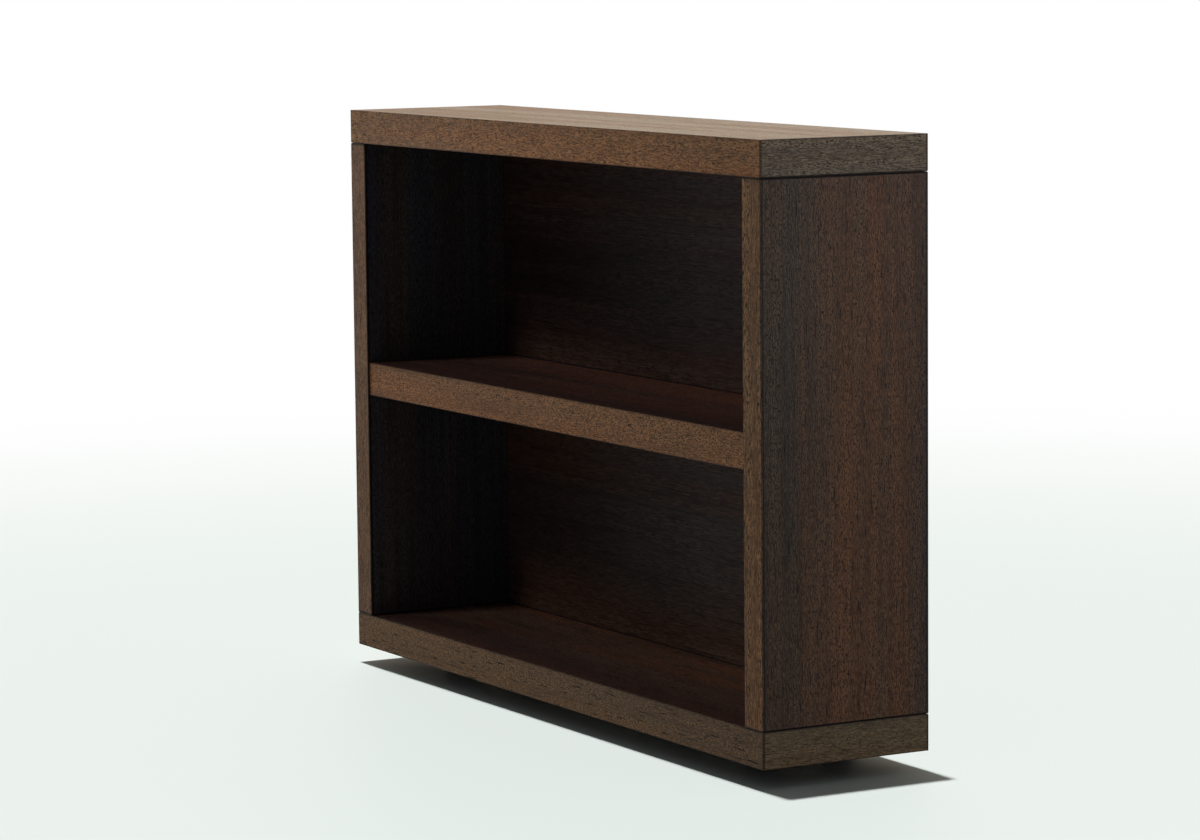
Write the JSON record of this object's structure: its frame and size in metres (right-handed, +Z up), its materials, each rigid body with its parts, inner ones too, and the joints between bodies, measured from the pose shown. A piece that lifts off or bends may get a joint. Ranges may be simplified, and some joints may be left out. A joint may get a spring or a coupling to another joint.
{
  "type": "armrest bookcase",
  "caption": "Low open bookcase of dark veneered boards with a fixed shelf, grooved-in back and levelling feet; stands at the end of a sofa as its armrest.",
  "frame": {"origin": "on the floor, under the middle of the case's footprint", "axes": "+X along the length, to the right seen from the open front; +Y towards the sofa, away from the open front; +Z up"},
  "size_m": [0.836, 0.183, 0.6],
  "materials": {
    "face_veneer": "dark wenge-type veneer, satin lacquer",
    "edge_veneer": "lighter wenge-type edging strip, open pores, matt lacquer",
    "back_veneer": "dark wenge-type veneer, satin lacquer",
    "beech": "bare beech",
    "zinc": "zinc-plated die casting",
    "steel": "bright zinc-plated steel",
    "black_plastic": "moulded black plastic"
  },
  "bodies": {
    "case": {"top_board": "face_veneer", "bottom_board": "face_veneer", "left_side": "face_veneer", "right_side": "face_veneer", "middle_shelf": "face_veneer", "back_panel": "back_veneer", "top_front_edging": "edge_veneer", "top_rear_edging": "edge_veneer", "top_left_edging": "edge_veneer", "top_right_edging": "edge_veneer", "bottom_front_edging": "edge_veneer", "bottom_rear_edging": "edge_veneer", "bottom_left_edging": "edge_veneer", "bottom_right_edging": "edge_veneer", "left_side_front_edging": "edge_veneer", "left_side_rear_edging": "edge_veneer", "right_side_front_edging": "edge_veneer", "right_side_rear_edging": "edge_veneer", "shelf_front_edging": "edge_veneer", "dowel_top_left_1": "beech", "dowel_top_left_2": "beech", "dowel_top_left_3": "beech", "dowel_top_right_1": "beech", "dowel_top_right_2": "beech", "dowel_top_right_3": "beech", "dowel_bottom_left_1": "beech", "dowel_bottom_left_2": "beech", "dowel_bottom_left_3": "beech", "dowel_bottom_right_1": "beech", "dowel_bottom_right_2": "beech", "dowel_bottom_right_3": "beech", "dowel_shelf_left_1": "beech", "dowel_shelf_left_2": "beech", "dowel_shelf_left_3": "beech", "dowel_shelf_right_1": "beech", "dowel_shelf_right_2": "beech", "dowel_shelf_right_3": "beech", "fixing_insert_left_lower": "zinc", "fixing_insert_left_upper": "zinc", "fixing_insert_right_lower": "zinc", "fixing_insert_right_upper": "zinc", "foot_insert_front_left": "zinc", "foot_insert_front_right": "zinc", "foot_insert_rear_left": "zinc", "foot_insert_rear_right": "zinc"},
    "pad_front_left": {"foot_pad_front_left": "black_plastic"},
    "pad_front_right": {"foot_pad_front_right": "black_plastic"},
    "pad_rear_left": {"foot_pad_rear_left": "black_plastic"},
    "pad_rear_right": {"foot_pad_rear_right": "black_plastic"},
    "stem_front_left": {"foot_stem_front_left": "steel"},
    "stem_front_right": {"foot_stem_front_right": "steel"},
    "stem_rear_left": {"foot_stem_rear_left": "steel"},
    "stem_rear_right": {"foot_stem_rear_right": "steel"}
  },
  "joints": [
    {"name": "pad_front_left_height", "type": "slide", "parent": "case", "child": "pad_front_left", "axis": [0, 0, -1], "range_m": [0, 0.012]},
    {"name": "stem_front_left_screw", "type": "hinge", "parent": "pad_front_left", "child": "stem_front_left", "pos_m": [-0.308, -0.0235, 0.012], "axis": [0, 0, -1], "range_deg": [0, 3456]},
    {"name": "pad_front_right_height", "type": "slide", "parent": "case", "child": "pad_front_right", "axis": [0, 0, -1], "range_m": [0, 0.012]},
    {"name": "stem_front_right_screw", "type": "hinge", "parent": "pad_front_right", "child": "stem_front_right", "pos_m": [0.308, -0.0235, 0.012], "axis": [0, 0, -1], "range_deg": [0, 3456]},
    {"name": "pad_rear_left_height", "type": "slide", "parent": "case", "child": "pad_rear_left", "axis": [0, 0, -1], "range_m": [0, 0.012]},
    {"name": "stem_rear_left_screw", "type": "hinge", "parent": "pad_rear_left", "child": "stem_rear_left", "pos_m": [-0.308, 0.0615, 0.012], "axis": [0, 0, -1], "range_deg": [0, 3456]},
    {"name": "pad_rear_right_height", "type": "slide", "parent": "case", "child": "pad_rear_right", "axis": [0, 0, -1], "range_m": [0, 0.012]},
    {"name": "stem_rear_right_screw", "type": "hinge", "parent": "pad_rear_right", "child": "stem_rear_right", "pos_m": [0.308, 0.0615, 0.012], "axis": [0, 0, -1], "range_deg": [0, 3456]}
  ],
  "couplings": [
    {"joint": "stem_front_left_screw", "follows": "pad_front_left_height", "rad_per_m": 5026.5},
    {"joint": "stem_front_right_screw", "follows": "pad_front_right_height", "rad_per_m": 5026.5},
    {"joint": "stem_rear_left_screw", "follows": "pad_rear_left_height", "rad_per_m": 5026.5},
    {"joint": "stem_rear_right_screw", "follows": "pad_rear_right_height", "rad_per_m": 5026.5}
  ]
}
